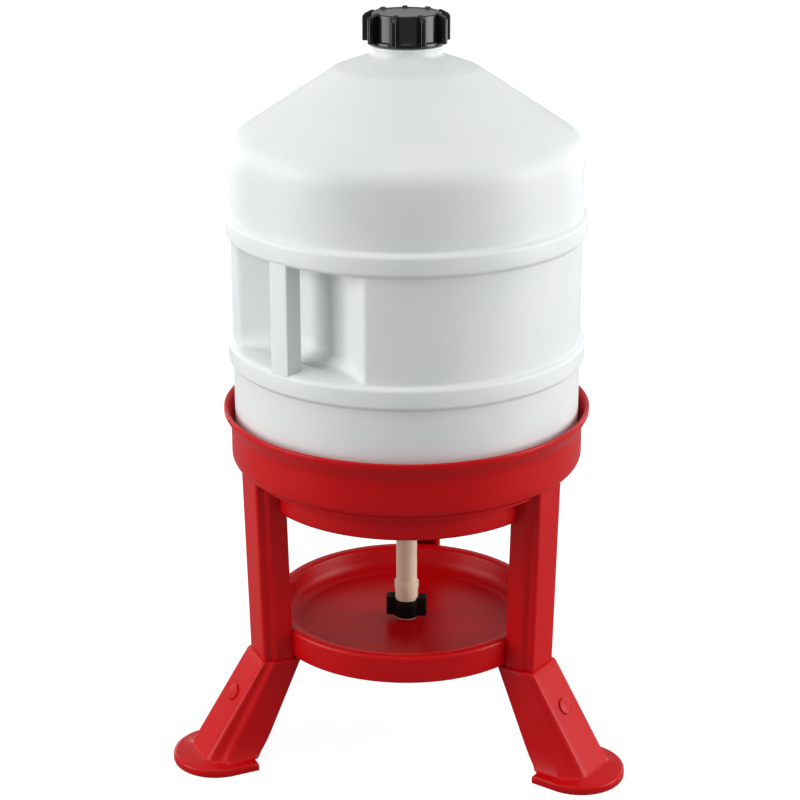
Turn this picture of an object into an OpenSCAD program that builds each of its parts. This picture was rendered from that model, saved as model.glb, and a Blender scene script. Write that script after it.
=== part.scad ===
// Poultry waterer: a siphon tank on a three-legged stand, with a drinking dish under it.
// Millimetres, +Z up. The origin is on the tank's axis, at the floor, and the back leg is at +Y.

/* [Tank] */
// Outer diameter of the drum
tank_d = 343; // [330:1:343]
// Thickness of the blow-moulded wall
tank_wall = 2.5; // [2:0.1:3]
// Height of the drum's corner with the shoulder above the floor
shoulder_z = 620; // [600:1:640]
// Slope of the shoulder from the horizontal, in degrees
shoulder_slope = 33.5; // [30:0.5:36]
// How far the two ribs stand out of the drum
rib_out = 4.7; // [3:0.1:5]
// Height of the lower rib's middle above the floor
rib_low_z = 413; // [405:1:415]
// Height of the upper rib's middle above the floor
rib_high_z = 538.5; // [530:0.5:550]

/* [Handles] */
// Direction of the first handle, seen from above
handle_angle = 232.8; // [225:0.1:240]
// Width of the handle bar
bar_w = 23; // [20:1:28]
// Depth of the handle bar
bar_depth = 20; // [18:1:22]
// Distance of the finger recess's floor from the tank's axis
recess_floor = 130; // [126:1:134]

/* [Filler neck and cap] */
// Height of the neck's base above the floor
neck_z = 700; // [695:1:705]
// Radius of the neck below the cap
neck_r = 33.8; // [33:0.1:34.5]
// Height of the cap above the floor
cap_z = 710.3; // [710:0.1:711]
// Height of the cap
cap_h = 30.8; // [30:0.1:32]
// Number of grip lugs round the cap
lug_count = 9; // [6:1:12]
// Radius over the tips of the lugs
lug_r = 46; // [42:0.5:48]

/* [Outlet and tap] */
// Outer diameter of the outlet tube
tube_d = 21.3; // [20:0.1:22]
// Inner diameter of the outlet tube
tube_bore = 16.5; // [14:0.1:17]
// Height of the tap's lower end above the floor
tap_z = 114.4; // [113.5:0.1:116]
// Radius over the tips of the tap knob's wings
wing_r = 21; // [18:0.5:24]

/* [Tank seat] */
// Outer radius of the seat's wall
seat_r = 175.5; // [175.5:0.1:177]
// Outer radius of the lip
lip_r = 182.7; // [181:0.1:186]
// Height of the lip's top above the floor
lip_z = 352.8; // [350:0.1:356]
// Wall thickness of the stand's mouldings
wall = 3; // [2.8:0.1:3.2]

/* [Legs and feet] */
// Height of the seam between a leg and its foot above the floor
seam_z = 105; // [103:1:106]
// Lean of the legs, in degrees
leg_lean = 1.45; // [1.2:0.05:1.7]
// Radius of the foot pad's round end
pad_r = 45.6; // [42:0.1:48]
// Distance of the round end's centre from the tank's axis
pad_u = 209.8; // [205:0.1:215]
// Thickness of the foot pad
pad_h = 9; // [7:0.5:10]

/* [Water dish] */
// Outer radius of the dish
dish_r = 139.3; // [137:0.1:139.4]
// Height of the dish's lower edge above the floor
dish_z = 107.7; // [107.5:0.1:108.5]
// Height of the dish
dish_h = 28.6; // [26:0.1:32]
// Width of the dish's rim
rim_w = 11; // [9:0.5:13]

/* [Hidden] */
$fn = 96;

red = "#c81e28";
white = "#e9edee";
black = "#1b1b1d";
rubber = "#2c2c2e";
steel = "#b9bcc0";

LEG_ANGLES = [90, 210, 330];    // back, left and right
gap = 0.2;                      // clearance between mouldings that are fixed together
run = 0.05;                     // running clearance between the tap knob and the tube
over = 1;                       // how far a cutting shape runs past a face

// Tank: the profile's own measures
tank_r = tank_d / 2;
ledge_z = lip_z - 61.3;         // top of the ledge that the tank stands on
tank_z = ledge_z + 0.3;         // underside of the tank
tank_corner = 23;               // round at the bottom of the drum
shoulder_round = 25;            // round between the drum and the shoulder
rib_h = 21;
rib_slope_h = 3.5;              // height of each sloping edge of a rib
dome_r = 69;                    // where the shoulder flattens into the dome
neck_top = cap_z + 24.7;
thread_r = 29.6;                // outer radius of the neck inside the cap
bead_r = neck_r + 1.2;
bead_z = neck_z + 6;
outlet_hole_r = 13.3;

// Handles: a recess between the ribs, and the bar across it
recess_low = rib_low_z + rib_h / 2 + 2.3;
recess_high = rib_high_z - rib_h / 2 - 2.3;
recess_half = 32;               // half the width of the recess's flat floor
recess_side = 68.8;             // direction of the side walls from the handle's direction
bar_face_r = tank_r + rib_out - 0.7;

// Outlet: a flanged bush through the tank's floor, with the tube in it
tube_r = tube_d / 2;
bush_r = outlet_hole_r - 0.3;
bush_flange_r = 22;
bush_flange_h = 5;
gasket_h = 2;
nut_h = 8;
nut_af = 36;                    // width of the locknut across its flats

// Tap: the knob is a sleeve that turns on the tube's lower end
knob_low = tap_z + 1.8;
knob_high = tap_z + 20.2;
hub_r = 13;
wing_t = 12.5;
wing_low = tap_z + 3.2;
wing_high = tap_z + 23.1;
collar_r = 11.7;
collar_low = knob_high + gap;
collar_h = 20;
window_low = tap_z + 8;         // lower edge of the outlet window
window_h = 7;
window_w = 8;
ring_section_r = 0.8;
ring_r = tube_r - ring_section_r + 0.03;
ring_heights = [tap_z + 6, tap_z + 17.3];

// Seat: a ledge for the tank, a well for the outlet, and a flared lip
step_z = ledge_z - wall;        // underside of the ledge
well_r = 149;
well_z = lip_z - 90.8;          // underside of the well's floor
step_r = 163;
wall_low_z = lip_z - 41;        // where the wall's lower round ends
flare_z = lip_z - 18;
seat_hole_r = 32;
seat_round = 22;                // round at the bottom of the wall

// Leg section: a box with a narrower rounded nose on its outside
leg_mid_z = 220;                // height at which the section's sizes hold
box_in = 138.6;
box_out = 156.6;
box_half = 23.5;
box_round = 7;
neck_half = 17;
nose_in = 159.6;
nose_out = 168.1;
nose_half = 20.5;
nose_round = 4;
leg_top = wall_low_z - 1;
screw_u = 154.5;                  // distance of the leg screws from the axis
screw_v = 11;                   // their distance from the leg's middle
screw_r = 2.25;
screw_len = 22;
screw_head_r = 4.4;
head_h = 2.2;

// Foot: splays from the seam to the pad
foot_top_in = 125.8;
foot_top_out = 157;
foot_top_half = 26.5;
foot_low_in = 178;
foot_low_out = 218.6;
foot_low_half = 34;
foot_nose_top_u = 158.3;
foot_nose_top_r = 9;
foot_nose_top_half = 23;
foot_nose_low_u = 214;
foot_nose_low_r = 24;
pad_in = 186.5;
heel_h = 8;                     // the foot behind its pad stands this far off the floor

// Spigot: the leg's tongue inside the foot, along the foot's own slope
spigot_u = 152.5;
spigot_slope = 30.7;
spigot_len = 62;
spigot_t = 15;
spigot_half = 13;

// Locking pin of each foot, square to the nose's outer face
pin_z = 68;
foot_top_nose = foot_nose_top_u + foot_nose_top_r;
foot_low_nose = foot_nose_low_u + foot_nose_low_r;
pin_slope = atan2(foot_low_nose - foot_top_nose, seam_z);
pin_u = foot_top_nose + (seam_z - pin_z) * tan(pin_slope);
pin_head_r = 8.5;
pin_head_h = 2.5;
pin_sink = 2;                   // how deep the head sits in the nose
pin_r = 4;
pin_len = 25;

// Tongue of the dish inside each leg, screwed to the foot's top
tongue_half = 11;
tongue_out = 158;
tongue_h = 5;
tongue_screw_u = 149;
tongue_screw_len = 12;

// Points of an arc, from one angle to another
function arc(x, y, r, from, to, steps = 8) = [
    for (i = [0 : steps])
        let (a = from + (to - from) * i / steps)
        [x + r * cos(a), y + r * sin(a)]
];

// A rectangle with rounded corners, given by its four sides
module rounded_rect(x0, x1, half, r) {
    translate([x0 + r, -half])
        square([x1 - x0 - 2 * r, 2 * half]);
    translate([x0, -half + r])
        square([x1 - x0, 2 * half - 2 * r]);
    for (x = [x0 + r, x1 - r], y = [-half + r, half - r])
        translate([x, y])
            circle(r, $fn = 32);
}

// Points of one rib's edge on the tank, going up
function rib_points(mid_z, inset) = let (
    out = tank_r + rib_out - inset,
    in = tank_r - inset,
    half = rib_h / 2 + 1.5 - inset * 0.7
) [
    [in, mid_z - half],
    [out, mid_z - half + rib_slope_h],
    [out, mid_z + half - rib_slope_h],
    [in, mid_z + half]
];

// Half section of the tank, moved inward by inset for the hollow inside it
function tank_points(inset) = let (
    r = tank_r - inset,
    tangent = shoulder_round * tan((90 - shoulder_slope) / 2),
    dome_z = shoulder_z + (tank_r - dome_r) * tan(shoulder_slope)
) concat(
    [[0, tank_z + inset]],
    arc(tank_r - tank_corner, tank_z + tank_corner, tank_corner - inset, -90, 0),
    rib_points(rib_low_z, inset),
    rib_points(rib_high_z, inset),
    arc(tank_r - shoulder_round, shoulder_z - tangent, shoulder_round - inset,
        0, 90 - shoulder_slope),
    [[dome_r - inset * sin(shoulder_slope), dome_z - inset * cos(shoulder_slope)]]
);

// The neck's outside, with the bead below the cap
function neck_points() = [
    [neck_r + 3, neck_z - 1],
    [neck_r, neck_z + 2],
    [neck_r, bead_z],
    [bead_r, bead_z + 0.6],
    [bead_r, bead_z + 2.8],
    [thread_r, bead_z + 3.4],
    [thread_r, neck_top],
    [0, neck_top]
];

// The neck's bore, open at the top
function bore_points() = [
    [neck_r - tank_wall + 1, neck_z - tank_wall],
    [thread_r - tank_wall, neck_z + 3],
    [thread_r - tank_wall, neck_top + over],
    [0, neck_top + over]
];

// Plan of a finger recess along +X, made larger by grow for the wall behind it
module recess_plan(grow) {
    reach = 125;
    half = recess_half + grow * tan((90 - recess_side) / 2);
    x0 = recess_floor - grow;
    x1 = x0 + reach * cos(recess_side);
    y1 = half + reach * sin(recess_side);
    polygon([[x0, -half], [x0, half], [x1, y1], [x1, -y1]]);
}

module recess(grow) {
    translate([0, 0, recess_low - grow])
        linear_extrude(recess_high - recess_low + 2 * grow)
            recess_plan(grow);
}

// The handle bar along +X, or the hollow inside it
module bar(inset) {
    reach = 8 + 2 * inset;
    half = bar_w / 2 - inset;
    x0 = bar_face_r - bar_depth + inset;
    intersection() {
        cylinder(h = shoulder_z, r = bar_face_r - inset);
        translate([x0, -half, recess_low - reach])
            cube([bar_depth + 5, 2 * half, recess_high - recess_low + 2 * reach]);
    }
}

// The tank's solid outside, or its hollow inside
module tank_body(inset, top) {
    difference() {
        rotate_extrude($fn = 144)
            polygon(concat(tank_points(inset), top));
        for (turn = [0, 180])
            rotate(handle_angle + turn)
                recess(inset);
    }
    for (turn = [0, 180])
        rotate(handle_angle + turn)
            bar(inset);
}

module tank_shell() {
    color(white)
        difference() {
            tank_body(0, neck_points());
            tank_body(tank_wall, bore_points());
            translate([0, 0, tank_z - over])
                cylinder(h = tank_wall + 2 * over, r = outlet_hole_r);
        }
}

// Flanged bush below the tank's floor; its stem goes up through the floor
module outlet_bush() {
    flange_z = tank_z - gasket_h - bush_flange_h;
    stem_h = bush_flange_h + gasket_h + tank_wall + nut_h + 4;
    color(white)
        difference() {
            union() {
                translate([0, 0, flange_z])
                    cylinder(h = bush_flange_h, r = bush_flange_r);
                translate([0, 0, flange_z])
                    cylinder(h = stem_h, r = bush_r);
                translate([0, 0, flange_z - 12])
                    cylinder(h = 12.5, r = tube_r + 3.5);
            }
            translate([0, 0, flange_z - 13])
                cylinder(h = stem_h + 20, r = tube_r + run);
        }
}

module outlet_gasket() {
    color(rubber)
        translate([0, 0, tank_z - gasket_h])
            difference() {
                cylinder(h = gasket_h, r = bush_flange_r - 1);
                translate([0, 0, -over])
                    cylinder(h = gasket_h + 2 * over, r = bush_r + 0.1);
            }
}

module outlet_locknut() {
    color(white)
        translate([0, 0, tank_z + tank_wall])
            difference() {
                cylinder(h = nut_h, r = nut_af / sqrt(3), $fn = 6);
                translate([0, 0, -over])
                    cylinder(h = nut_h + 2 * over, r = bush_r + run);
            }
}

// Siphon tube with the window that the tap opens
module outlet_tube() {
    low = tap_z + 1.6;
    high = tank_z + tank_wall + nut_h + 3;
    color(white)
        difference() {
            translate([0, 0, low])
                cylinder(h = high - low, r = tube_r);
            translate([0, 0, low - over])
                cylinder(h = high - low + 2 * over, r = tube_bore / 2);
            translate([-tube_d, -window_w / 2, window_low])
                cube([tube_d, window_w, window_h]);
            for (z = ring_heights)
                translate([0, 0, z])
                    rotate_extrude()
                        translate([ring_r - ring_section_r - 0.05, -ring_section_r - 0.1])
                            square(2 * ring_section_r + 0.2);
        }
}

// Ring on the tube that holds the knob down, with two small lugs
module tap_collar() {
    color(white)
        difference() {
            union() {
                translate([0, 0, collar_low])
                    cylinder(h = collar_h, r = collar_r);
                translate([-collar_r - 0.7, -2.5, collar_low + 12])
                    cube([2 * collar_r + 1.4, 5, collar_h - 12]);
            }
            translate([0, 0, collar_low - over])
                cylinder(h = collar_h + 2 * over, r = tube_r + run);
        }
}

module tap_o_rings() {
    color(rubber)
        for (z = ring_heights)
            translate([0, 0, z])
                rotate_extrude()
                    translate([ring_r, 0])
                        circle(ring_section_r, $fn = 24);
}

// Plug that closes the tube; its flange holds the knob up
module tap_end_plug() {
    color(white) {
        translate([0, 0, tap_z])
            cylinder(h = 1.4, r = collar_r);
        translate([0, 0, tap_z + 1])
            cylinder(h = 6, r = tube_bore / 2 - 0.1);
    }
}

// Sleeve with two wings; its window stands a quarter turn from the tube's when shut
module tap_knob() {
    color(black)
        difference() {
            union() {
                translate([0, 0, knob_low])
                    cylinder(h = knob_high - knob_low, r = hub_r);
                intersection() {
                    translate([0, 0, wing_low])
                        cylinder(h = wing_high - wing_low, r = wing_r);
                    translate([-wing_r, -wing_t / 2, wing_low])
                        cube([2 * wing_r, wing_t, wing_high - wing_low]);
                }
            }
            translate([0, 0, knob_low - over])
                cylinder(h = wing_high, r = tube_r + run);
            translate([0, 0, knob_high])
                cylinder(h = collar_h, r = collar_r + 1.9);
            translate([-window_w / 2, 0, window_low])
                cube([window_w, wing_r, window_h]);
        }
}

module cap_gasket() {
    color(rubber)
        translate([0, 0, neck_top + 0.1])
            difference() {
                cylinder(h = 2, r = thread_r + 0.6);
                translate([0, 0, -over])
                    cylinder(h = 2 + 2 * over, r = thread_r - tank_wall - 0.5);
            }
}

// One grip lug along +X, with a top that slopes outward
module cap_lug() {
    lug_t = 5;
    top_z = cap_z + cap_h;
    rotate([90, 0, 0])
        translate([0, 0, -lug_t / 2])
            linear_extrude(lug_t)
                polygon([
                    [thread_r + 1.4, cap_z + 1.7],
                    [lug_r, cap_z + 1.7],
                    [lug_r, top_z - 6],
                    [lug_r - 2, top_z - 3.4],
                    [thread_r + 4, top_z],
                    [thread_r + 1.4, top_z]
                ]);
}

module fill_cap() {
    body_r = 33.4;
    inner_h = neck_top + 2.3 - cap_z;
    color(black)
        difference() {
            union() {
                translate([0, 0, cap_z])
                    cylinder(h = cap_h - 1.2, r = body_r);
                translate([0, 0, cap_z])
                    cylinder(h = 4, r = body_r + 2.6);
                for (i = [0 : lug_count - 1])
                    rotate(17.8 + i * 360 / lug_count)
                        cap_lug();
            }
            translate([0, 0, cap_z - over])
                cylinder(h = inner_h + over, r = thread_r + 0.9);
        }
}

// Outside of the seat, from its floor up to the foot of the lip
function seat_outer_points(grow) = concat(
    [[well_r - 3 + grow, well_z - grow], [well_r + grow, well_z + 3 - grow]],
    [[well_r + grow, step_z - grow], [step_r + grow, step_z - grow]],
    arc(seat_r - seat_round, wall_low_z, seat_round + grow, -64, 0)
);

function seat_profile() = concat(
    [[seat_hole_r, well_z]],
    seat_outer_points(0),
    arc(lip_r + 2, flare_z, lip_r + 2 - seat_r, 180, 125, 5),
    [[lip_r, lip_z - 3.4], [lip_r, lip_z], [lip_r - wall, lip_z]],
    [[seat_r - wall, flare_z + 1]],
    arc(seat_r - seat_round, wall_low_z, seat_round - wall, 0, -64),
    [[step_r - wall, ledge_z], [well_r - wall, ledge_z]],
    [[well_r - wall, well_z + wall], [seat_hole_r + wall, well_z + wall]],
    [[seat_hole_r + wall, well_z + wall + 6], [seat_hole_r, well_z + wall + 6]]
);

// The two screws that hold one leg, or the countersunk holes for them
module leg_screw_pair(grow = 0) {
    top = ledge_z + (grow > 0 ? 0.01 : -0.1);
    for (v = [-screw_v, screw_v])
        translate([screw_u, v, top - screw_len]) {
            cylinder(h = screw_len, r = screw_r + grow);
            translate([0, 0, screw_len - head_h])
                cylinder(h = head_h, r1 = screw_r + grow, r2 = screw_head_r + grow);
        }
}

module tank_seat() {
    color(red)
        difference() {
            rotate_extrude($fn = 144)
                polygon(seat_profile());
            for (a = LEG_ANGLES)
                rotate(a)
                    leg_screw_pair(0.3);
        }
}

module leg_screws() {
    color(steel)
        for (a = LEG_ANGLES)
            rotate(a)
                leg_screw_pair();
}

// Section of a leg: a rounded box with a rounded nose on its outside
module leg_section() {
    rounded_rect(box_in, box_out, box_half, box_round);
    translate([box_out - 4, -neck_half])
        square([nose_in - box_out + 8, 2 * neck_half]);
    rounded_rect(nose_in, nose_out, nose_half, nose_round);
}

// Hollow of a leg: a channel that is open towards the tank's axis
module leg_hollow() {
    translate([box_in - 10, wall - box_half])
        square([box_out - wall - box_in + 10, 2 * (box_half - wall)]);
    translate([box_in, wall - neck_half])
        square([nose_out - wall - box_in, 2 * (neck_half - wall)]);
}

// Extrudes a section of the leg between two heights, along the leg's lean
module leaning(low, high) {
    intersection() {
        translate([box_in, 0, leg_mid_z])
            rotate([0, leg_lean, 0])
                translate([-box_in, 0, -leg_mid_z])
                    linear_extrude(leg_top + 20)
                        children();
        translate([0, -50, low])
            cube([seat_r + 20, 100, high - low]);
    }
}

// Tongue below the leg, along the foot's slope, made larger by grow for the foot's slot
module spigot(grow = 0) {
    translate([spigot_u, 0, seam_z])
        rotate([0, -spigot_slope, 0])
            translate([-spigot_t / 2 - grow, -spigot_half - grow, -spigot_len])
                cube([spigot_t + 2 * grow, 2 * (spigot_half + grow), spigot_len + 3]);
}

// Puts its children on the foot's nose, with +Z along the locking pin, pointing out
module on_nose() {
    translate([pin_u, 0, pin_z])
        rotate([0, 90 - pin_slope, 0])
            children();
}

module leg() {
    top_z = step_z - gap;
    low_z = seam_z + gap;
    color(red)
        difference() {
            union() {
                difference() {
                    leaning(low_z, leg_top)
                        leg_section();
                    leaning(low_z + wall, top_z - wall)
                        leg_hollow();
                }
                for (v = [-screw_v, screw_v])
                    translate([screw_u, v, top_z - screw_len])
                        cylinder(h = screw_len, r = screw_r + 2.75);
                intersection() {
                    spigot();
                    translate([box_in, -box_half, 0])
                        cube([100, 2 * box_half, low_z + wall]);
                }
            }
            rotate_extrude($fn = 144)
                polygon(concat([[0, well_z - gap]], seat_outer_points(gap), [[0, wall_low_z]]));
            for (v = [-screw_v, screw_v])
                translate([screw_u, v, top_z - screw_len + 2])
                    cylinder(h = screw_len, r = screw_r + 0.05);
            translate([0, 0, dish_z - gap])
                cylinder(h = dish_h + 2 * gap, r = dish_r + gap);
            translate([tongue_screw_u, 0, low_z + wall - tongue_screw_len])
                cylinder(h = tongue_screw_len + over, r = screw_r + 0.05);
            on_nose()
                translate([0, 0, -pin_len - 5])
                    cylinder(h = pin_len, r = pin_r + 0.1);
        }
}

module leg_back() {
    rotate(LEG_ANGLES[0])
        leg();
}

module leg_left() {
    rotate(LEG_ANGLES[1])
        leg();
}

module leg_right() {
    rotate(LEG_ANGLES[2])
        leg();
}

// The foot's two rounded walls, one hull each, moved inward by inset for its hollow
module foot_loft(inset, low, high) {
    in = inset * 1.15;
    hull() {
        for (v = [-1, 1], u = [0, 1]) {
            low_u = u == 0 ? foot_low_in + in + 7 : foot_low_out - in - 7;
            top_u = u == 0 ? foot_top_in + in + 6 : foot_top_out - in - 6;
            translate([low_u, v * (foot_low_half - inset - 7), low])
                cylinder(h = 0.01, r = 7, $fn = 32);
            translate([top_u, v * (foot_top_half - inset - 6), high - 0.01])
                cylinder(h = 0.01, r = 6, $fn = 32);
        }
    }
    hull() {
        translate([foot_nose_low_u, 0, low])
            cylinder(h = 0.01, r = foot_nose_low_r - inset, $fn = 48);
        for (v = [-1, 1])
            translate([foot_nose_top_u - inset * 0.15, v * (foot_nose_top_half - foot_nose_top_r), high - 0.01])
                cylinder(h = 0.01, r = foot_nose_top_r - inset, $fn = 32);
    }
}

// Plan of the pad: a round end, and straight sides back to a flat edge
module pad_plan() {
    difference() {
        union() {
            translate([pad_u, 0])
                circle(pad_r);
            translate([pad_in, -pad_r])
                square([pad_u - pad_in, 2 * pad_r]);
        }
        translate([pad_in - pad_r, -2 * pad_r])
            square([pad_r, 4 * pad_r]);
    }
}

module foot() {
    color(red)
        difference() {
            union() {
                difference() {
                    union() {
                        foot_loft(0, 0, seam_z);
                        linear_extrude(pad_h)
                            pad_plan();
                    }
                    foot_loft(wall, -0.01, seam_z - wall);
                }
                on_nose()
                    translate([0, 0, -9])
                        cylinder(h = 7.5, r = 7);
            }
            spigot(gap);
            translate([pad_in - 60, -pad_r, -over])
                cube([60, 2 * pad_r, heel_h + over]);
            on_nose() {
                translate([0, 0, -pin_sink])
                    cylinder(h = 20, r = pin_head_r + gap);
                translate([0, 0, -20])
                    cylinder(h = 20, r = pin_r + 0.1);
            }
            translate([tongue_screw_u, 0, seam_z - 10])
                cylinder(h = 20, r = screw_r + 0.3);
        }
}

module foot_back() {
    rotate(LEG_ANGLES[0])
        foot();
}

module foot_left() {
    rotate(LEG_ANGLES[1])
        foot();
}

module foot_right() {
    rotate(LEG_ANGLES[2])
        foot();
}

// Locking pin with a round head, through the foot's nose into the leg's spigot
module foot_pin() {
    color(red)
        on_nose() {
            translate([0, 0, -pin_sink + 0.05])
                cylinder(h = pin_sink + pin_head_h, r = pin_head_r);
            translate([0, 0, -pin_len])
                cylinder(h = pin_len, r = pin_r);
        }
}

module foot_pin_back() {
    rotate(LEG_ANGLES[0])
        foot_pin();
}

module foot_pin_left() {
    rotate(LEG_ANGLES[1])
        foot_pin();
}

module foot_pin_right() {
    rotate(LEG_ANGLES[2])
        foot_pin();
}

// Half section of the dish: skirt, rounded rim, and a cove down to the floor
function dish_profile() = let (
    top = dish_z + dish_h,
    floor_z = dish_z + 0.3,
    cove_r = dish_h - 5.3 - wall - 0.3,
    cove_x = dish_r - rim_w - cove_r,
    cove_z = floor_z + wall + cove_r
) concat(
    [[0, floor_z], [cove_x, floor_z]],
    arc(cove_x, cove_z, cove_r + wall, -90, 0),
    [[cove_x + cove_r + wall, top - wall], [dish_r - wall, top - wall]],
    [[dish_r - wall - 1, dish_z], [dish_r - 1, dish_z]],
    arc(dish_r - 4, top - 4, 4, 0, 90, 5),
    arc(dish_r - rim_w + 5, top - 5, 5, 90, 180, 5),
    arc(cove_x, cove_z, cove_r, 0, -90),
    [[0, floor_z + wall]]
);

module water_dish() {
    tongue_z = seam_z + gap + wall + gap;
    color(red) {
        rotate_extrude($fn = 144)
            polygon(dish_profile());
        for (a = LEG_ANGLES)
            rotate(a)
                difference() {
                    translate([dish_r - 2, -tongue_half, tongue_z])
                        cube([tongue_out - dish_r + 2, 2 * tongue_half, tongue_h]);
                    translate([tongue_screw_u, 0, tongue_z - over])
                        cylinder(h = tongue_h + 2 * over, r = screw_r + 0.3);
                }
    }
}

module dish_screws() {
    head_z = seam_z + 2 * gap + wall + tongue_h;
    color(steel)
        for (a = LEG_ANGLES)
            rotate(a)
                translate([tongue_screw_u, 0, head_z]) {
                    cylinder(h = head_h, r = screw_head_r);
                    translate([0, 0, -tongue_screw_len])
                        cylinder(h = tongue_screw_len + 0.1, r = screw_r);
                }
}

tank_seat();
leg_back();
leg_left();
leg_right();
foot_back();
foot_left();
foot_right();
foot_pin_back();
foot_pin_left();
foot_pin_right();
leg_screws();
water_dish();
dish_screws();
tank_shell();
outlet_bush();
outlet_gasket();
outlet_locknut();
outlet_tube();
tap_collar();
tap_o_rings();
tap_end_plug();
tap_knob();
cap_gasket();
fill_cap();
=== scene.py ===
# %% [markdown]
# # A poultry drinker: white siphon tank on a red stand
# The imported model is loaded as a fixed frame. Everything below is placed from it, in metres,
# with the origin on the tank's axis at the floor.

# %% Load the frame
import math

import bmesh
import bpy
from mathutils import Matrix, Vector


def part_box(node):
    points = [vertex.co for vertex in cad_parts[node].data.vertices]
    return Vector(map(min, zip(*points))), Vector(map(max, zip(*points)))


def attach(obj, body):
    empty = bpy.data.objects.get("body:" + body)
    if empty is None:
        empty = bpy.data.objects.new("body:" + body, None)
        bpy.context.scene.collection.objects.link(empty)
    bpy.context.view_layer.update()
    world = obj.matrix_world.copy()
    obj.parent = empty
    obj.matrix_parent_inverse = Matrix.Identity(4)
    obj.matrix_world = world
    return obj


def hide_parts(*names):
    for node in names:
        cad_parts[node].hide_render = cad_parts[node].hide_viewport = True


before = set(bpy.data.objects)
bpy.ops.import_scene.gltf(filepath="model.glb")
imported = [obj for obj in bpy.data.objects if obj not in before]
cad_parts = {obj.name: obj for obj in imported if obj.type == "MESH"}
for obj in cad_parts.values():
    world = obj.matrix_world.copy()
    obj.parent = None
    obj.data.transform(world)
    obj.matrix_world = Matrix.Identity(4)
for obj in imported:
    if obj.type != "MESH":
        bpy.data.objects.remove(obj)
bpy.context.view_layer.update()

tank_low, tank_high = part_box("tank_shell")
seat_low, seat_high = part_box("tank_seat")
dish_low, dish_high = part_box("water_dish")
cap_low, cap_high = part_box("fill_cap")

# %% [markdown]
# ## Camera
# A long lens at eye height, looking down 18 degrees, shows the tank's dome, the seat's lip and the
# dish below in one view. The camera stands 5 degrees to one side of the front, because the
# object is turned a little. The shift only centres the picture.

# %% Camera
CAMERA_DISTANCE = 1.876
CAMERA_HEIGHT = 1.0131
CAMERA_SIDE = math.radians(5.2)
CAMERA_PITCH = math.radians(18.084)

camera_data = bpy.data.cameras.new("camera")
camera_data.lens = 89.2
camera_data.shift_x = -0.00825
camera_data.shift_y = -0.0577
camera = bpy.data.objects.new("camera", camera_data)
camera.location = (
    CAMERA_DISTANCE * math.sin(CAMERA_SIDE),
    -CAMERA_DISTANCE * math.cos(CAMERA_SIDE),
    CAMERA_HEIGHT,
)
camera.rotation_euler = (math.pi / 2 - CAMERA_PITCH, 0, CAMERA_SIDE)
bpy.context.scene.collection.objects.link(camera)
bpy.context.scene.camera = camera

# %% [markdown]
# ## Light
# A white studio: a broad softbox on each side makes the sides of round things bright and leaves
# the middle, which faces the camera, a little darker. The world is white behind the object and
# dimmer as a light, so that it fills the shadows without flattening the shapes.

# %% World and softboxes
WHITE = (1, 1, 1, 1)
FILL = 0.5
scene = bpy.context.scene
scene.view_settings.view_transform = "Standard"
scene.view_settings.look = "None"

world = bpy.data.worlds.new("white studio")
world.use_nodes = True
scene.world = world


def add_node(tree, kind, inputs=None, **settings):
    """Adds one node, with its settings, and its inputs as values or as links."""
    node = tree.nodes.new(kind)
    for name, value in settings.items():
        setattr(node, name, value)
    for socket, value in (inputs or {}).items():
        if isinstance(value, bpy.types.NodeSocket):
            tree.links.new(value, node.inputs[socket])
        else:
            node.inputs[socket].default_value = value
    return node


world.node_tree.nodes.clear()
rays = add_node(world.node_tree, "ShaderNodeLightPath")
behind = add_node(world.node_tree, "ShaderNodeBackground", {"Color": WHITE, "Strength": 1.05})
fill = add_node(world.node_tree, "ShaderNodeBackground", {"Color": WHITE, "Strength": FILL})
choice = add_node(world.node_tree, "ShaderNodeMixShader", {
    0: rays.outputs["Is Camera Ray"],
    1: fill.outputs[0],
    2: behind.outputs[0],
})
add_node(world.node_tree, "ShaderNodeOutputWorld", {"Surface": choice.outputs[0]})


def softbox(name, place, target, width, height, watts):
    """A rectangular area light at a place, turned towards a target."""
    data = bpy.data.lights.new(name, "AREA")
    data.shape = "RECTANGLE"
    data.size = width
    data.size_y = height
    data.energy = watts
    lamp = bpy.data.objects.new(name, data)
    lamp.location = place
    lamp.rotation_euler = (Vector(target) - Vector(place)).to_track_quat("-Z", "Y").to_euler()
    scene.collection.objects.link(lamp)


middle = (0, 0, 0.4)
softbox("softbox left", (-2.0, -0.8, 0.85), middle, 1.3, 1.7, 32)
softbox("softbox right", (2.1, -0.2, 0.75), middle, 1.2, 1.5, 33)
softbox("softbox back left", (-1.5, 1.7, 0.5), middle, 1.2, 0.9, 8)
softbox("softbox back right", (1.5, 1.7, 0.5), middle, 1.2, 0.9, 7)
softbox("softbox top", (-0.2, -0.5, 2.6), middle, 1.4, 1.2, 12)

# %% [markdown]
# ## Materials
# Each finish is named for the real one. Colours are sRGB hex values, turned to linear by one
# function. Grain is a bump from noise on Object coordinates, with its width in millimetres. The
# real skins are finer than a render of the whole object can show, so they are drawn about a
# millimetre wide, or less on the small pieces.

# %% Material helpers
MM = 0.001


def srgb(code):
    """A linear colour with alpha from a hex code such as 'c81e28'."""
    values = [int(code[i : i + 2], 16) / 255 for i in (0, 2, 4)]
    return (*[v / 12.92 if v <= 0.04045 else ((v + 0.055) / 1.055) ** 2.4 for v in values], 1)


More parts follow.
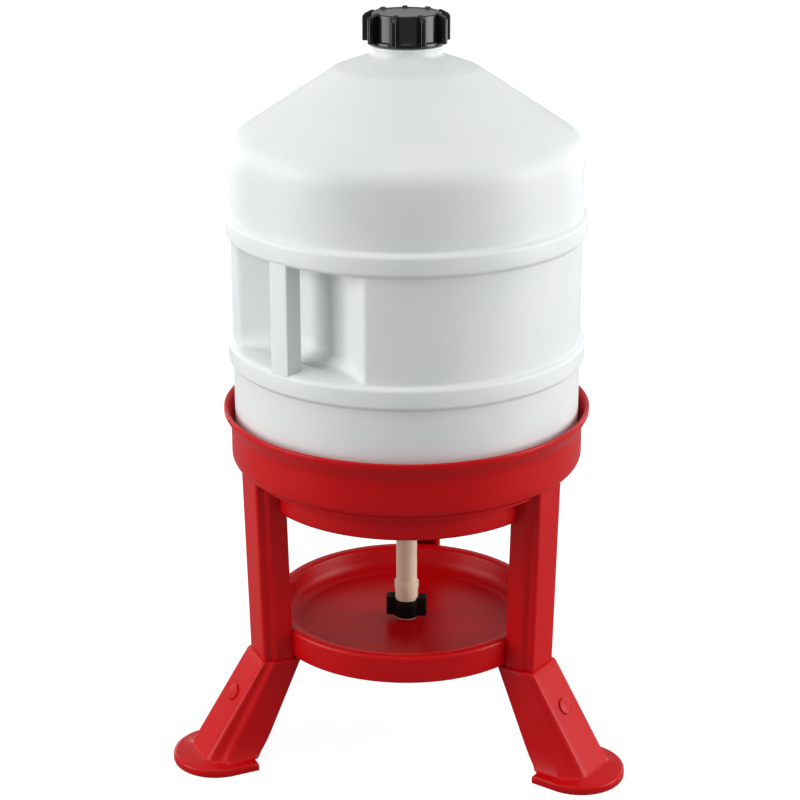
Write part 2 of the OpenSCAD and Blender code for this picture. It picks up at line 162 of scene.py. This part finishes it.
def moulded(name, colour, second, roughness, grain_mm, grain_depth_mm, patch_mm=90, **shader):
    """A finish with two close colours in soft patches, uneven gloss and a fine skin."""
    material = bpy.data.materials.new(name)
    material.use_nodes = True
    tree = material.node_tree
    tree.nodes.clear()
    place = add_node(tree, "ShaderNodeTexCoord").outputs["Object"]
    patches = add_node(tree, "ShaderNodeTexNoise", {
        "Vector": place, "Scale": 1 / (patch_mm * MM), "Detail": 3.0, "Roughness": 0.5,
    }).outputs["Fac"]
    skin = add_node(tree, "ShaderNodeTexNoise", {
        "Vector": place, "Scale": 1 / (grain_mm * MM), "Detail": 2.0, "Roughness": 0.6,
    }).outputs["Fac"]
    tint = add_node(tree, "ShaderNodeValToRGB", {"Fac": patches})
    tint.color_ramp.elements[0].position = 0.35
    tint.color_ramp.elements[0].color = srgb(second)
    tint.color_ramp.elements[1].position = 0.65
    tint.color_ramp.elements[1].color = srgb(colour)
    gloss = add_node(tree, "ShaderNodeMapRange", {
        "Value": patches, "From Min": 0.3, "From Max": 0.7,
        "To Min": roughness - 0.04, "To Max": roughness + 0.04,
    })
    bump = add_node(tree, "ShaderNodeBump", {
        "Height": skin, "Distance": grain_depth_mm * MM, "Strength": 1.0,
    })
    plastic = add_node(tree, "ShaderNodeBsdfPrincipled", {
        "Base Color": tint.outputs["Color"],
        "Roughness": gloss.outputs["Result"],
        "Normal": bump.outputs["Normal"],
        **shader,
    })
    add_node(tree, "ShaderNodeOutputMaterial", {"Surface": plastic.outputs[0]})
    return material


# %% [markdown]
# ### The finishes
# - Blow-moulded polyethylene is milky: light goes a little way in, so edges glow softly.
# - Injection-moulded polypropylene, dyed red, has a semi-gloss with a fine spark-eroded skin.
# - The cap is black polypropylene from a polished mould, so it mirrors the studio in grey.
# - The tap knob is matte black acetal; the tube and its fittings are white rigid PVC.
# - Seals are dull black rubber, and the screws are zinc-plated steel.

# %% The finishes
milky_polyethylene = moulded(
    "blow-moulded white polyethylene", "e4e7e7", "dfe3e3", 0.42, 1.6, 0.035,
    **{"Subsurface Weight": 0.3, "Subsurface Scale": 0.006, "IOR": 1.51,
       "Specular IOR Level": 0.35},
)
milky_polyethylene.node_tree.nodes["Principled BSDF"].inputs["Subsurface Radius"].default_value = (
    1.0, 1.0, 0.9,
)
red_polypropylene = moulded(
    "injection-moulded red polypropylene", "c2030b", "bb0209", 0.35, 0.9, 0.03,
    **{"IOR": 1.49, "Specular IOR Level": 0.22},
)
polished_black_polypropylene = moulded(
    "polished black polypropylene", "131210", "0e0d0c", 0.2, 1.2, 0.01, 40, **{"IOR": 1.49},
)
matte_black_acetal = moulded(
    "matte black acetal", "070707", "050505", 0.5, 0.6, 0.02, 30,
    **{"IOR": 1.48, "Specular IOR Level": 0.18},
)
white_pvc = moulded(
    "rigid white PVC pipe", "efe0c8", "ebd8bb", 0.33, 1.0, 0.015, 50, **{"IOR": 1.53},
)
black_rubber = moulded("black nitrile rubber", "1d1d1e", "171718", 0.7, 0.5, 0.03, 20)
zinc_plate = moulded(
    "zinc-plated steel", "b9bcc0", "a9adb2", 0.33, 0.4, 0.01, 8, **{"Metallic": 1.0},
)

# %% [markdown]
# ## Outlines
# Most pieces are turned shapes, so they start as a half section. A moulding has no sharp corners:
# fillet() takes corners with a radius each and returns the outline with those corners rounded.

# %% Outline helpers
def fillet(corners, steps=5, closed=True):
    """An outline in the units of its corners (x, y, radius), with each corner rounded."""
    outline = []
    count = len(corners)
    for i, (x, y, radius) in enumerate(corners):
        here = Vector((x, y))
        if radius == 0 or (not closed and i in (0, count - 1)):
            outline.append((x, y))
            continue
        before = Vector(corners[i - 1][:2]) - here
        after = Vector(corners[(i + 1) % count][:2]) - here
        half = before.angle(after) / 2
        if half > math.radians(89.5):
            outline.append((x, y))
            continue
        reach = min(radius / math.tan(half), before.length * 0.49, after.length * 0.49)
        radius = reach * math.tan(half)
        centre = here + (before.normalized() + after.normalized()).normalized() * (
            radius / math.sin(half)
        )
        start = here + before.normalized() * reach - centre
        turn = start.angle_signed(here + after.normalized() * reach - centre)
        for step in range(steps + 1):
            point = centre + Matrix.Rotation(-turn * step / steps, 2) @ start
            outline.append(tuple(point))
    return outline


def refine(outline, spacing, closed=True):
    """The same outline with more points: no two stand further apart than spacing(x, y)."""
    ends = outline[1:] + (outline[:1] if closed else [])
    finer = []
    for a, b in zip(outline, ends):
        a, b = Vector(a), Vector(b)
        parts = max(1, math.ceil((b - a).length / spacing(*((a + b) / 2))))
        finer += [tuple(a.lerp(b, part / parts)) for part in range(parts)]
    return finer if closed else finer + outline[-1:]


def spin(outline, closed=True, sectors=((30, 16),)):
    """A bmesh turned about the vertical axis from a half section in millimetres.

    The sectors, each in degrees and steps, make one wedge, which is repeated to a full turn.
    """
    bm = bmesh.new()
    verts = [bm.verts.new((x * MM, 0, z * MM)) for x, z in outline]
    pairs = list(zip(verts, verts[1:])) + ([(verts[-1], verts[0])] if closed else [])
    geom = verts + [bm.edges.new(pair) for pair in pairs]
    for degrees, steps in sectors:
        geom = bmesh.ops.spin(
            bm, geom=geom, cent=(0, 0, 0), axis=(0, 0, 1),
            angle=math.radians(degrees), steps=steps,
        )["geom_last"]
    wedge = sum(degrees for degrees, _ in sectors)
    bmesh.ops.spin(
        bm, geom=bm.verts[:] + bm.edges[:] + bm.faces[:], cent=(0, 0, 0), axis=(0, 0, 1),
        angle=math.radians(360 - wedge), steps=round(360 / wedge) - 1, use_duplicate=True,
    )
    bmesh.ops.remove_doubles(bm, verts=bm.verts, dist=2e-6)
    bmesh.ops.dissolve_degenerate(bm, edges=bm.edges, dist=1e-7)
    bmesh.ops.recalc_face_normals(bm, faces=bm.faces)
    return bm


def make_piece(bm, name, body, material, nodes=(), sharp=38):
    """Turns a bmesh into a piece that rides on a body and stands for some CAD nodes."""
    for face in bm.faces:
        face.smooth = True
    for edge in bm.edges:
        if len(edge.link_faces) == 2 and edge.calc_face_angle() > math.radians(sharp):
            edge.smooth = False
    mesh = bpy.data.meshes.new(name)
    bm.to_mesh(mesh)
    bm.free()
    mesh.materials.append(material)
    piece = bpy.data.objects.new(name, mesh)
    scene.collection.objects.link(piece)
    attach(piece, body)
    if nodes:
        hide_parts(*nodes)
    print(name, len(mesh.polygons), "faces")
    return piece


# %% [markdown]
# ## The tank
# A blow-moulded tank has an even wall, two ribs, a conical shoulder, a flat dome and a neck. The
# half section runs up the outside, over the neck's mouth and down the inside, and it is spun to a
# closed shell. The rows are close together near the ledges of the finger recess, because that is
# pressed in afterwards by moving vertices.

# %% The tank's half section
TANK_R = 171.5
WALL = 2.5
RIB_OUT = 4.7
RIBS = (413.0, 538.5)
RECESS_LOW, RECESS_HIGH = 425.8, 525.7
DOME_R = 69.0
NECK_R = 33.8
NECK_TOP = tank_high.z / MM
FLOOR_Z = tank_low.z / MM
SHOULDER_Z = 620.0
SHOULDER_SLOPE = math.tan(math.radians(33.5))
OUTLET_R = 13.3

dome_z = SHOULDER_Z + (TANK_R - DOME_R) * SHOULDER_SLOPE
rib_corners = []
for rib in RIBS:
    rib_corners += [
        (TANK_R, rib - 12, 3), (TANK_R + RIB_OUT, rib - 8.5, 4),
        (TANK_R + RIB_OUT, rib + 8.5, 4), (TANK_R, rib + 12, 3),
    ]
tank_corners = [
    (OUTLET_R, FLOOR_Z, 0.3), (TANK_R, FLOOR_Z, 23), *rib_corners,
    (TANK_R, SHOULDER_Z, 25), (DOME_R, dome_z, 22),
    (NECK_R, 700.1, 5), (NECK_R, 706, 0.8), (NECK_R + 1.2, 706.6, 0.5),
    (NECK_R + 1.2, 709.0, 0.6), (29.6, 709.6, 0.5), (29.6, NECK_TOP, 1.2),
    (27.1, NECK_TOP, 0.9), (27.1, 699, 4), (DOME_R - 1.5, dome_z - 2.2, 20),
    (TANK_R - WALL, SHOULDER_Z - 1.5, 22), (TANK_R - WALL, FLOOR_Z + WALL, 20),
    (OUTLET_R, FLOOR_Z + WALL, 0.3),
]


def tank_spacing(x, z):
    """Rows a millimetre apart at the recess's ledges, wider everywhere else."""
    near = min(abs(z - RECESS_LOW), abs(z - RECESS_HIGH)) < 5
    if near and x > TANK_R - WALL - 1:
        return 1.0 if x > TANK_R - 1 else 2.5
    return 12.0


tank_bm = spin(refine(fillet(tank_corners), tank_spacing), sectors=((72, 120), (108, 48)))
print("tank", len(tank_bm.faces), "faces before the recess")

# %% [markdown]
# ### The finger recess
# On each side of the tank the drum falls back between the ribs to a flat floor, with slanted
# sides. Every vertex of the drum keeps its direction from the axis, and moves in to the recess's
# surface. A smooth minimum between the drum and the recess rounds the edges as a blow mould does.

# %% Press the finger recesses in
HANDLE_ANGLE = math.radians(232.8)
HANDLE_ANGLES = (HANDLE_ANGLE, HANDLE_ANGLE - math.pi)
RECESS_FLOOR = 130.0
RECESS_HALF = 32.0
RECESS_SIDE = math.radians(68.8)
LEDGE_RISE = 2.2
SIDE_REACH = RECESS_FLOOR * math.sin(RECESS_SIDE) - RECESS_HALF * math.cos(RECESS_SIDE)


def smooth_min(a, b, blend):
    """The smaller of two lengths, with a soft change over within blend."""
    share = min(1, max(0, 0.5 + (b - a) / (2 * blend)))
    return b + (a - b) * share - blend * share * (1 - share)


def smooth_step(low, high, value):
    """Goes softly from 0 at low to 1 at high."""
    share = min(1, max(0, (value - low) / (high - low)))
    return share * share * (3 - 2 * share)


def recess_radius(off_axis, inset):
    """Distance of the recess's surface from the axis, in a direction off its middle."""
    off_axis = abs(off_axis)
    flat = (RECESS_FLOOR - inset) / math.cos(off_axis)
    side = (SIDE_REACH - inset) / math.sin(RECESS_SIDE - off_axis)
    return -smooth_min(-flat, -side, 5)


tank_bm.transform(Matrix.Rotation(HANDLE_ANGLE - math.radians(36), 4, "Z"))
for vert in tank_bm.verts:
    x, y, z = vert.co / MM
    inner = vert.co.xy.length / MM < TANK_R - WALL / 2
    radius = TANK_R - (WALL if inner else 0)
    if not RECESS_LOW - 6 < z < RECESS_HIGH + 6 or abs(math.hypot(x, y) - radius) > 6:
        continue
    inset = WALL if inner else 0
    ledges = smooth_step(RECESS_LOW - inset - LEDGE_RISE, RECESS_LOW - inset + LEDGE_RISE, z)
    ledges *= 1 - smooth_step(RECESS_HIGH + inset - LEDGE_RISE, RECESS_HIGH + inset + LEDGE_RISE, z)
    for angle in HANDLE_ANGLES:
        off_axis = (math.atan2(y, x) - angle + math.pi) % math.tau - math.pi
        if abs(off_axis) > math.radians(34) or ledges == 0:
            continue
        here = math.hypot(x, y)
        moved = smooth_min(here, recess_radius(off_axis, inset), 3.5)
        vert.co.xy *= (here + (moved - here) * ledges) / here

make_piece(
    tank_bm, "tank", "tank", milky_polyethylene, ["tank_shell"], sharp=60,
)

# %% [markdown]
# ### The handle bars
# The bar across each recess runs on into the ribs above and below. It is one rounded section,
# raised by bridge_loops between rings.

# %% Loft helpers
def add_ring(bm, points):
    """A closed ring of vertices and edges through points in millimetres."""
    verts = [bm.verts.new(Vector(point) * MM) for point in points]
    return verts, [bm.edges.new(pair) for pair in zip(verts, verts[1:] + verts[:1])]


def loft(bm, rings):
    """Joins rings that have equal numbers of points, and closes both ends."""
    made = [add_ring(bm, points) for points in rings]
    for (_, low_edges), (_, high_edges) in zip(made, made[1:]):
        bmesh.ops.bridge_loops(bm, edges=low_edges + high_edges)
    for verts, _ in (made[0], made[-1]):
        bm.faces.new(verts)


def turned(points, angle):
    """The same points turned about the vertical axis."""
    turn = Matrix.Rotation(angle, 3, "Z")
    return [tuple(turn @ Vector(point)) for point in points]


# %% Handle bars
BAR_FACE = 175.6
BAR_DEPTH = 20.0
BAR_HALF = 11.5

for number, angle in enumerate(HANDLE_ANGLES, 1):
    bar_bm = bmesh.new()
    low_u = BAR_FACE - BAR_DEPTH
    section = fillet([
        (low_u, -BAR_HALF, 4), (BAR_FACE + 1, -BAR_HALF, 4),
        (BAR_FACE + 1, BAR_HALF, 4), (low_u, BAR_HALF, 4),
    ])
    pulls = [min(1, BAR_FACE / math.hypot(u, v)) for u, v in section]
    section = [(u * pull, v * pull) for (u, v), pull in zip(section, pulls)]
    heights = (RECESS_LOW - 7, RECESS_LOW + 3, RECESS_HIGH - 3, RECESS_HIGH + 7)
    loft(bar_bm, [turned([(u, v, z) for u, v in section], angle) for z in heights])
    bmesh.ops.recalc_face_normals(bar_bm, faces=bar_bm.faces)
    make_piece(bar_bm, f"handle_bar_{number}", "tank", milky_polyethylene)

# %% [markdown]
# ## The tank seat
# The seat is an injection-moulded ring: a well for the outlet, a ledge that carries the tank, a
# rounded wall and a thin flared lip. Its half section is closed, with the wall's thickness in it.

# %% Tank seat
SEAT_R = 175.5
SEAT_WALL = 3.0
LIP_R = seat_high.x / MM
LIP_Z = seat_high.z / MM
WELL_Z = seat_low.z / MM
WELL_R = 149.0
LEDGE_Z = LIP_Z - 61.3
STEP_Z = LEDGE_Z - SEAT_WALL
FLARE_Z = LIP_Z - 18
HOLE_R = 32.0
STEP_R = 163.1
WALL_FOOT_R = 22.0

seat_corners = [
    (HOLE_R, WELL_Z, 1), (WELL_R, WELL_Z, 4), (WELL_R, STEP_Z, 2),
    (STEP_R, STEP_Z, 1.3), (STEP_R, STEP_Z + 3.6, 1.5), (SEAT_R, LIP_Z - 54.7, WALL_FOOT_R),
    (SEAT_R, FLARE_Z, 14), (LIP_R, LIP_Z - 5, 6), (LIP_R, LIP_Z, 1.6),
    (LIP_R - 3.2, LIP_Z, 1.4), (SEAT_R - SEAT_WALL, FLARE_Z + 1, 12),
    (SEAT_R - SEAT_WALL, LIP_Z - 53, 19), (160, LEDGE_Z, 2),
    (WELL_R - SEAT_WALL, LEDGE_Z, 1.5), (WELL_R - SEAT_WALL, WELL_Z + SEAT_WALL, 3),
    (HOLE_R + SEAT_WALL, WELL_Z + SEAT_WALL, 2), (HOLE_R + SEAT_WALL, WELL_Z + 9, 1),
    (HOLE_R, WELL_Z + 9, 1),
]
seat_bm = spin(refine(fillet(seat_corners, 6), lambda x, z: 12.0))
make_piece(seat_bm, "tank_seat_moulding", "stand", red_polypropylene, ["tank_seat"])

# %% [markdown]
# ## The dish
# The birds drink from a shallow dish with a broad rounded rim and a deep cove, so that it wipes
# clean. Its inner wall slopes in by 6 mm, where the CAD's is upright. Three tongues reach from
# its skirt into the legs.

# %% Water dish
DISH_R = 139.3
RIM_W = 11.0
DISH_Z = dish_low.z / MM
DISH_TOP = dish_high.z / MM
FLOOR_TOP = DISH_Z + 3.3
LEG_ANGLES = {"back": math.radians(90), "left": math.radians(210), "right": math.radians(330)}

dish_corners = [
    (0, DISH_Z + 0.3, 0), (DISH_R - RIM_W + 3, DISH_Z + 0.3, 22),
    (DISH_R - RIM_W + 3, DISH_TOP - 3, 1), (DISH_R - 3, DISH_TOP - 3, 1),
    (DISH_R - 4, DISH_Z, 0.6), (DISH_R - 1, DISH_Z, 0.8), (DISH_R, DISH_TOP, 4),
    (DISH_R - RIM_W, DISH_TOP, 5), (DISH_R - RIM_W - 6, FLOOR_TOP, 26), (0, FLOOR_TOP, 0),
]
dish_bm = spin(refine(fillet(dish_corners, 8, closed=False), lambda x, z: 10.0, False), False)
for angle in LEG_ANGLES.values():
    tongue = fillet([(137.5, -11, 0), (158, -11, 3), (158, 11, 3), (137.5, 11, 0)])
    levels = [(108.6, 0.6), (109.2, 0), (112.8, 0), (113.4, 0.6)]
    loft(dish_bm, [turned([(u - inset, v, z) for u, v in tongue], angle) for z, inset in levels])
bmesh.ops.recalc_face_normals(dish_bm, faces=dish_bm.faces)
make_piece(dish_bm, "water_dish_moulding", "stand", red_polypropylene, ["water_dish"])

# %% [markdown]
# ## The legs
# Each leg is a channel that is open towards the axis, with rounded ridges and a nose that stands
# out of its front. It leans in a little on the way down. The section is drawn once, raised in
# steps along the lean, and its top is shaped to the underside of the seat.

# %% Legs
SEAM_Z = 105.0
LEG_MID = 220.0
LEAN = math.tan(math.radians(1.45))
WELL_GAP = 0.2
LEG_TOP = 285.0
ARC_U = 153.5
ARC_DROP = 41.0
ARC_LIFT = 0.4

leg_section = fillet([
    (138.6, 23.5, 1.2), (157.3, 23.5, 6), (161.6, 19.3, 6), (168.7, 20.2, 7),
    (168.7, -20.2, 7), (161.6, -19.3, 6), (157.3, -23.5, 6),
    (138.6, -23.5, 1.2), (138.6, -20.5, 1.2), (154.5, -20.5, 4), (158.6, -16.2, 4),
    (165.6, -16.8, 4), (165.6, 16.8, 4), (158.6, 16.2, 4), (154.5, 20.5, 4), (138.6, 20.5, 1.2),
])
leg_section = refine(leg_section, lambda x, y: 3.0)


def seat_underside(radius):
    """Height of the seat's outside at a distance from the axis."""
    if radius < WELL_R + WELL_GAP:
        return WELL_Z - WELL_GAP
    if radius < STEP_R + WELL_GAP:
        return STEP_Z - WELL_GAP
    drop = math.sqrt(max(0, WALL_FOOT_R**2 - (radius - ARC_U) ** 2))
    return LIP_Z - ARC_DROP - drop + ARC_LIFT


for name, angle in LEG_ANGLES.items():
    leg_bm = bmesh.new()
    rings = []
    low_z = SEAM_Z + 0.2
    for z in (low_z, low_z + 0.5, 150, 200, 240, None):
        ring = []
        for u, v in leg_section:
            top = seat_underside(math.hypot(u + (LEG_TOP - LEG_MID) * LEAN, v))
            height = top if z is None else z
            ring.append((u + (height - LEG_MID) * LEAN, v, height))
        rings.append(turned(ring, angle))
    loft(leg_bm, rings)
    bmesh.ops.triangulate(leg_bm, faces=[f for f in leg_bm.faces if len(f.verts) > 4])
    bmesh.ops.recalc_face_normals(leg_bm, faces=leg_bm.faces)
    make_piece(leg_bm, f"leg_{name}_channel", "stand", red_polypropylene,
               [f"leg_{name}"])

# %% [markdown]
# ## The feet
# A foot widens as it splays out to its pad. Each ring is a rounded box with a nose in front and
# a shallow valley between them. The rings go down the outside, sweep out to the pad, turn under
# its edge and go up the hollow inside. Behind the pad the foot stands clear of the floor. The pad
# reaches 3 mm further in than the CAD's, and the foot flares just above it.

# %% Feet
PAD_R = 45.6
PAD_U = 209.8
PAD_H = 9.0
PAD_IN = 183.5
PAD_MID = Vector((205, 0))
CORNER_STEPS = 6
SIDE_PARTS = 8
FLARE_Z_TOP = 30.0
HOLLOW = 3.0
NOSE_TOP_U = 167.3
NOSE_LOW_U = 238.0


def mix(top, bottom, share):
    """A value part of the way from the foot's top to its bottom."""
    return top + (bottom - top) * share


def foot_outline(z, inset=0.0):
    """The foot's outline at a height, with an inset for its hollow."""
    share = 1 - z / SEAM_Z
    flare = min(1, max(0, (FLARE_Z_TOP - z) / (FLARE_Z_TOP - PAD_H)) ** 2)
    low_u = mix(125.8, 178, share) + 6 * flare + inset
    ridge_u = mix(157, 218.6, share) - inset
    half = mix(26.5, 34, share) + 4 * flare - inset
    valley_u = mix(162.3, 225, share) - inset * 0.5
    valley_v = mix(22.4, 27, share) + 3 * flare - inset
    nose_u = mix(NOSE_TOP_U + 0.3, NOSE_LOW_U, share) - inset
    nose_v = mix(22.8, 24.5, share) - inset
    side = [
        (low_u, half, 7), (ridge_u, half, mix(5.5, 11, share)),
        (valley_u, valley_v, mix(6, 11, share)), (nose_u, nose_v, mix(8, 20, share)),
    ]
    corners = fillet(side + [(u, -v, radius) for u, v, radius in reversed(side)], CORNER_STEPS)
    outline = []
    for i, point in enumerate(corners):
        outline.append(point)
        if i % (CORNER_STEPS + 1) == CORNER_STEPS:
            start, end = Vector(point), Vector(corners[(i + 1) % len(corners)])
            outline += [
                tuple(start.lerp(end, part / SIDE_PARTS)) for part in range(1, SIDE_PARTS)
            ]
    return outline


def pad_reach(out, inset):
    """How far the pad reaches from its middle in a direction."""
    low, high = 0.0, 80.0
    for _ in range(24):
        reach = (low + high) / 2
        spot = PAD_MID + out * reach
        wide = math.hypot(max(0, spot.x - PAD_U), spot.y)
        if wide > PAD_R - inset or spot.x < PAD_IN + inset:
            high = reach
        else:
            low = reach
    return low


def pad_outline(inset, tucked=True):
    """The pad's edge, point for point with the foot's outline. The heel is tucked under or not."""
    outline = []
    for point in foot_outline(PAD_H):
        off = Vector(point) - PAD_MID
        reach = pad_reach(off.normalized(), inset)
        if not tucked:
            reach = max(reach, off.length)
        outline.append(tuple(PAD_MID + off.normalized() * reach))
    corners = [(PAD_IN + inset, side * (PAD_R - inset)) for side in (-1, 1)]
    for corner in corners if tucked else ():
        nearest = min(range(len(outline)), key=lambda i: math.dist(outline[i], corner))
        outline[nearest] = corner
    return outline


def grown(outline, amount):
    """An outline moved away from the pad's middle."""
    return [tuple(Vector(p) + (Vector(p) - PAD_MID).normalized() * amount) for p in outline]


def behind_pad(outline, low_z, high_z):
    """Heights for the points of an outline: high_z behind the pad, low_z elsewhere."""
    return [(u, v, high_z if u < PAD_IN + 0.5 else low_z) for u, v in outline]


foot_rings = [
    [(u, v, SEAM_Z) for u, v in foot_outline(SEAM_Z, 0.9)],
    [(u, v, SEAM_Z - 0.4) for u, v in foot_outline(SEAM_Z, 0.25)],
]
foot_rings += [
    [(u, v, z) for u, v in foot_outline(z)]
    for z in (SEAM_Z - 1.2, 98, 88, 76, 64, 52, 40, 30, 22, 16, PAD_H + 4)
]
foot_rings += [
    [(u, v, PAD_H + 1.5) for u, v in grown(foot_outline(PAD_H + 2), 0.3)],
    [(u, v, PAD_H + 0.4) for u, v in grown(foot_outline(PAD_H), 1.4)],
    behind_pad(pad_outline(4, False), PAD_H, PAD_H - 0.6),
    behind_pad(pad_outline(1.6, False), PAD_H - 0.3, PAD_H - 1),
    [(u, v, PAD_H - 1.2) for u, v in pad_outline(0.5)],
    [(u, v, PAD_H - 2.6) for u, v in pad_outline(0)],
    [(u, v, 1) for u, v in pad_outline(0)],
    [(u, v, 0.3) for u, v in pad_outline(0.3)],
    [(u, v, 0) for u, v in pad_outline(1)],
    [(max(u, PAD_IN + HOLLOW), v, 0) for u, v in foot_outline(0, HOLLOW)],
    [(max(u, PAD_IN + HOLLOW), v, 7) for u, v in foot_outline(7, HOLLOW)],
]
foot_rings += [[(u, v, z) for u, v in foot_outline(z, HOLLOW)] for z in (12, 40, 70, 101)]

for name, angle in LEG_ANGLES.items():
    foot_bm = bmesh.new()
    loft(foot_bm, [turned(ring, angle) for ring in foot_rings])
    bmesh.ops.recalc_face_normals(foot_bm, faces=foot_bm.faces)
    make_piece(foot_bm, f"foot_{name}_moulding", "stand", red_polypropylene,
               [f"foot_{name}"], sharp=50)

# %% [markdown]
# ## The locking pins
# A round button on each foot's nose is the head of the pin that locks the foot to its leg. It is
# turned from a half section with a domed face, and tilted square to the nose.

# %% Locking pins
PIN_Z = 68.0
NOSE_TILT = math.atan2(NOSE_LOW_U - NOSE_TOP_U, SEAM_Z)
PIN_U = NOSE_TOP_U + (SEAM_Z - PIN_Z) * math.tan(NOSE_TILT)

for name, angle in LEG_ANGLES.items():
    pin_bm = spin(fillet([
        (0, -25, 0), (4, -25, 1), (4, -2, 0.3), (8.5, -2, 0.3), (8.5, 1.9, 1.1), (0, 2.5, 0),
    ], 4, closed=False), False, ((30, 4),))
    tilt = Matrix.Rotation(math.pi / 2 - NOSE_TILT, 4, "Y")
    place = Matrix.Translation(Vector((PIN_U, 0, PIN_Z)) * MM)
    pin_bm.transform(Matrix.Rotation(angle, 4, "Z") @ place @ tilt)
    make_piece(pin_bm, f"foot_pin_{name}_button", "stand", red_polypropylene,
               [f"foot_pin_{name}"])

# %% [markdown]
# ## The filler cap
# The cap is a turned cup with a flange. Lugs stand out all round it for grip: each one is a
# rounded side view, given its thickness by extruding, with bevelled edges. They reach 42.3 mm
# from the axis, where the CAD's reach 46 mm, which came out too wide.

# %% Filler cap
CAP_LOW = cap_low.z / MM
CAP_HIGH = cap_high.z / MM
LUG_COUNT = 9
LUG_R = 42.3
LUG_T = 5.0
LUG_START = math.radians(17.8)

cap_bm = spin(fillet([
    (0, CAP_HIGH - 1.9, 0), (29.2, CAP_HIGH - 1.9, 0.5), (30.2, CAP_HIGH - 1.3, 0.5),
    (33.4, CAP_HIGH - 1.3, 1.1), (33.4, CAP_LOW + 4, 0.8), (36, CAP_LOW + 4, 0.9),
    (36, CAP_LOW, 0.8), (30.5, CAP_LOW, 0.5), (30.5, NECK_TOP + 2.3, 1), (0, NECK_TOP + 2.3, 0),
], 4, closed=False), False, ((30, 12),))

for lug in range(LUG_COUNT):
    side = fillet([
        (31, CAP_LOW + 1.7, 0), (LUG_R, CAP_LOW + 1.7, 1.2), (LUG_R, CAP_HIGH - 6, 2),
        (LUG_R - 2, CAP_HIGH - 3.4, 2.5), (33.8, CAP_HIGH, 2), (31, CAP_HIGH, 0.9),
    ], 4)
    outline = [(u, -LUG_T / 2, z) for u, z in side]
    lug_bm = bmesh.new()
    verts, _ = add_ring(lug_bm, outline)
    face = lug_bm.faces.new(verts)
    raised = bmesh.ops.extrude_face_region(lug_bm, geom=[face])["geom"]
    moved = [item for item in raised if isinstance(item, bmesh.types.BMVert)]
    bmesh.ops.translate(lug_bm, verts=moved, vec=(0, LUG_T * MM, 0))
    bmesh.ops.recalc_face_normals(lug_bm, faces=lug_bm.faces)
    rims = [e for e in lug_bm.edges if e.calc_face_angle() > math.radians(60)]
    bmesh.ops.bevel(
        lug_bm, geom=rims, offset=1.1 * MM, segments=3, profile=0.5, affect="EDGES", material=-1,
    )
    lug_bm.transform(Matrix.Rotation(LUG_START + lug * math.tau / LUG_COUNT, 4, "Z"))
    lug_mesh = bpy.data.meshes.new("lug")
    lug_bm.to_mesh(lug_mesh)
    lug_bm.free()
    cap_bm.from_mesh(lug_mesh)
    bpy.data.meshes.remove(lug_mesh)
make_piece(cap_bm, "cap_with_lugs", "cap", polished_black_polypropylene, ["fill_cap"])

# %% [markdown]
# ## Small mouldings that keep their CAD shape
# The tap knob, the collar and the outlet fitting already have the right shape, but their edges
# are sharp. softened() merges a copy of the CAD mesh, drops its flat edges and bevels the rest.

# %% Softened CAD pieces
def softened(node, width_mm, body, material):
    """A copy of a CAD node with its sharp edges rounded."""
    bm = bmesh.new()
    bm.from_mesh(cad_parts[node].data)
    bmesh.ops.remove_doubles(bm, verts=bm.verts, dist=1e-6)
    bmesh.ops.dissolve_limit(
        bm, angle_limit=math.radians(1), use_dissolve_boundaries=False,
        verts=bm.verts, edges=bm.edges, delimit=set(),
    )
    rims = [
        e for e in bm.edges
        if len(e.link_faces) == 2 and e.calc_face_angle() > math.radians(40)
    ]
    bmesh.ops.bevel(
        bm, geom=rims, offset=width_mm * MM, segments=2, profile=0.5, affect="EDGES",
        material=-1, clamp_overlap=True,
    )
    return make_piece(bm, f"{node}_moulding", body, material, [node])


softened("tap_knob", 0.9, "tap", matte_black_acetal)
softened("tap_collar", 0.7, "tank", white_pvc)
softened("outlet_bush", 0.6, "tank", white_pvc)
softened("outlet_locknut", 0.8, "tank", white_pvc)
softened("tap_end_plug", 0.4, "tank", white_pvc)

# %% [markdown]
# ## Finishes of the CAD nodes that stay
# The tube, the seals and the screws are plain turned shapes, and only need their finish.

# %% Finishes of the CAD nodes
finishes = {
    "outlet_tube": white_pvc, "tap_o_rings": black_rubber, "outlet_gasket": black_rubber,
    "cap_gasket": black_rubber, "leg_screws": zinc_plate, "dish_screws": zinc_plate,
}
for node, material in finishes.items():
    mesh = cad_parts[node].data
    mesh.materials.clear()
    mesh.materials.append(material)

# %% [markdown]
# ## Floor
# A pale floor that runs on past the edges of the picture. It glows for the camera alone, so it is
# white there without lighting the object from below.

# %% Floor
floor_bm = bmesh.new()
bmesh.ops.create_grid(floor_bm, x_segments=1, y_segments=1, size=15)
floor_mesh = bpy.data.meshes.new("floor")
floor_bm.to_mesh(floor_mesh)
floor_bm.free()
floor = bpy.data.objects.new("floor", floor_mesh)
scene.collection.objects.link(floor)
pale = bpy.data.materials.new("matte white studio floor")
pale.use_nodes = True
pale.node_tree.nodes.clear()
seen = add_node(pale.node_tree, "ShaderNodeLightPath").outputs["Is Camera Ray"]
near = add_node(pale.node_tree, "ShaderNodeBsdfDiffuse", {"Color": srgb("8c8c8c")})
glow = add_node(pale.node_tree, "ShaderNodeEmission", {"Color": WHITE, "Strength": 0.9})
lit = add_node(pale.node_tree, "ShaderNodeAddShader", {0: near.outputs[0], 1: glow.outputs[0]})
dull = add_node(pale.node_tree, "ShaderNodeBsdfDiffuse", {"Color": srgb("9a9a9a")})
pale_mix = add_node(pale.node_tree, "ShaderNodeMixShader", {
    0: seen, 1: dull.outputs[0], 2: lit.outputs[0],
})
add_node(pale.node_tree, "ShaderNodeOutputMaterial", {"Surface": pale_mix.outputs[0]})
floor_mesh.materials.append(pale)
